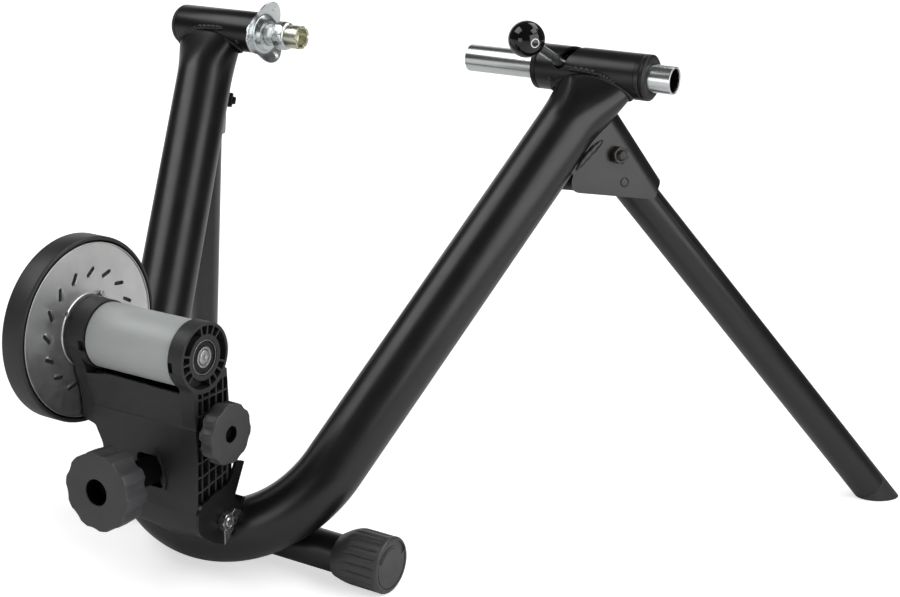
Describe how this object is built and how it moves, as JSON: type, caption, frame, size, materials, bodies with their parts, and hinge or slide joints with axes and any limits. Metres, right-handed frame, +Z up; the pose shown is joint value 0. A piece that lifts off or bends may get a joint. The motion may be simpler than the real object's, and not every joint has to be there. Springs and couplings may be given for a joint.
{
  "type": "magnetic bike trainer",
  "caption": "Folding steel stand that clamps a bicycle's rear axle and presses a magnetic resistance roller against its tyre.",
  "frame": {"origin": "centre of the bounding box on the floor", "axes": "+X along the wheel's axle towards the clamp lever, +Y the way the folding legs reach, +Z up"},
  "size_m": [0.8504, 0.6372, 0.4425],
  "materials": {
    "black_powder_coat": "satin black powder coat",
    "charcoal_plastic": "moulded, matte charcoal",
    "zinc_plate": "clear zinc plating",
    "black_oxide_steel": "black oxide",
    "steel": "bright turned steel",
    "gloss_black": "gloss black ball",
    "yellow_zinc": "yellow zinc plating",
    "bearing_steel": "ground",
    "cast_iron": "black painted casting",
    "satin_aluminium": "satin, lightly turned",
    "aluminium": "turned"
  },
  "bodies": {
    "frame": {"u_frame_tube": "black_powder_coat", "foot_bar": "black_powder_coat", "left_head_tube": "black_powder_coat", "left_head_cap": "charcoal_plastic", "left_head_bushing": "zinc_plate", "right_head_tube": "black_powder_coat", "right_inner_bushing": "charcoal_plastic", "right_outer_bushing": "charcoal_plastic", "right_leg_bracket": "black_powder_coat", "left_leg_bracket": "black_powder_coat", "right_bracket_rivet": "black_powder_coat", "left_bracket_rivet": "black_powder_coat", "right_leg_pivot_bolt": "black_oxide_steel", "left_leg_pivot_bolt": "black_oxide_steel", "right_leg_pivot_nut": "black_oxide_steel", "left_leg_pivot_nut": "black_oxide_steel", "pivot_bracket": "black_powder_coat", "yoke_pivot_bolt": "black_oxide_steel", "yoke_pivot_nut": "black_oxide_steel"},
    "right_leg": {"right_leg_tube": "black_powder_coat", "right_leg_plug": "charcoal_plastic", "right_leg_bush": "black_oxide_steel"},
    "left_leg": {"left_leg_tube": "black_powder_coat", "left_leg_plug": "charcoal_plastic", "left_leg_bush": "black_oxide_steel"},
    "right_cap": {"right_foot_cap": "charcoal_plastic"},
    "left_cap": {"left_foot_cap": "charcoal_plastic"},
    "clamp_slider": {"right_axle_cup": "black_oxide_steel"},
    "clamp_turner": {"clamp_spindle": "steel", "clamp_core": "black_oxide_steel", "clamp_lever": "steel", "clamp_ball": "gloss_black"},
    "cone_slider": {"cone_cup": "yellow_zinc"},
    "cone_turner": {"cone_sleeve": "zinc_plate"},
    "locking_ring": {"lock_ring": "zinc_plate"},
    "yoke_unit": {"yoke": "charcoal_plastic", "right_bearing": "bearing_steel", "left_bearing": "bearing_steel", "magnet_plate": "zinc_plate", "magnet_ring": "cast_iron", "magnet_ring_screw_1": "steel", "magnet_ring_screw_2": "steel", "magnet_ring_screw_3": "steel", "plate_screw_1": "steel", "plate_screw_2": "steel", "plate_screw_3": "steel", "side_knob_nut": "steel"},
    "spinning_unit": {"roller": "satin_aluminium", "roller_shaft": "steel", "rotor_disc": "aluminium", "flywheel": "cast_iron", "flywheel_nut": "steel"},
    "side_knob_unit": {"side_knob": "charcoal_plastic", "side_knob_stud": "steel"},
    "tension_nut": {"barrel_nut": "steel"},
    "tension_slider": {"tension_sleeve": "charcoal_plastic"},
    "tension_turner": {"tension_knob": "charcoal_plastic", "tension_bolt": "steel"}
  },
  "joints": [
    {"name": "right_leg_fold", "type": "hinge", "parent": "frame", "child": "right_leg", "pos_m": [0.21432, 0.07003, 0.33135], "axis": [-0.8315, 0.5453, -0.1064], "range_deg": [0, 70]},
    {"name": "left_leg_fold", "type": "hinge", "parent": "frame", "child": "left_leg", "pos_m": [-0.21432, 0.07003, 0.33135], "axis": [-0.8315, -0.5453, 0.1064], "range_deg": [0, 70]},
    {"name": "right_cap_turn", "type": "hinge", "parent": "frame", "child": "right_cap", "pos_m": [0, -0.15221, 0.0205], "axis": [1, 0, 0], "range_deg": [-180, 180]},
    {"name": "left_cap_turn", "type": "hinge", "parent": "frame", "child": "left_cap", "pos_m": [0, -0.15221, 0.0205], "axis": [1, 0, 0], "range_deg": [-180, 180]},
    {"name": "clamp_slide", "type": "slide", "parent": "frame", "child": "clamp_slider", "axis": [1, 0, 0], "range_m": [0, 0.016]},
    {"name": "lever_turn", "type": "hinge", "parent": "clamp_slider", "child": "clamp_turner", "pos_m": [0, 0.07226, 0.3976], "axis": [-1, 0, 0], "range_deg": [0, 120]},
    {"name": "cone_feed", "type": "slide", "parent": "frame", "child": "cone_slider", "axis": [1, 0, 0], "range_m": [-0.006, 0.008]},
    {"name": "cone_turn", "type": "hinge", "parent": "cone_slider", "child": "cone_turner", "pos_m": [0, 0.07226, 0.3976], "axis": [1, 0, 0], "range_deg": [-1080, 1440]},
    {"name": "lock_ring_turn", "type": "hinge", "parent": "frame", "child": "locking_ring", "pos_m": [0, 0.07226, 0.3976], "axis": [1, 0, 0], "range_deg": [-60, 60]},
    {"name": "yoke_swing", "type": "hinge", "parent": "frame", "child": "yoke_unit", "pos_m": [0, -0.22734, 0.0597], "axis": [-1, 0, 0], "range_deg": [0, 12]},
    {"name": "roller_spin", "type": "hinge", "parent": "yoke_unit", "child": "spinning_unit", "pos_m": [0, -0.24404, 0.1956], "axis": [1, 0, 0], "continuous": true},
    {"name": "side_knob_turn", "type": "hinge", "parent": "yoke_unit", "child": "side_knob_unit", "pos_m": [0, -0.23774, 0.137], "axis": [1, 0, 0], "range_deg": [0, 180]},
    {"name": "tension_nut_turn", "type": "hinge", "parent": "frame", "child": "tension_nut", "pos_m": [0, -0.20874, 0.0985], "axis": [-1, 0, 0], "range_deg": [0, 6.92]},
    {"name": "tension_feed", "type": "slide", "parent": "tension_nut", "child": "tension_slider", "axis": [0, 1, 0], "range_m": [0, 0.00751]},
    {"name": "tension_knob_turn", "type": "hinge", "parent": "tension_slider", "child": "tension_turner", "pos_m": [0, -0.20874, 0.0985], "axis": [0, 1, 0], "range_deg": [0, 1350]}
  ],
  "couplings": [
    {"joint": "clamp_slide", "follows": "lever_turn", "m_per_rad": 0.0076394},
    {"joint": "cone_turn", "follows": "cone_feed", "rad_per_m": 3141.6},
    {"joint": "tension_feed", "follows": "tension_knob_turn", "m_per_rad": 0.00031831},
    {"joint": "yoke_swing", "follows": "tension_knob_turn", "ratio": 0.0088889},
    {"joint": "tension_nut_turn", "follows": "tension_knob_turn", "ratio": 0.0051111}
  ]
}
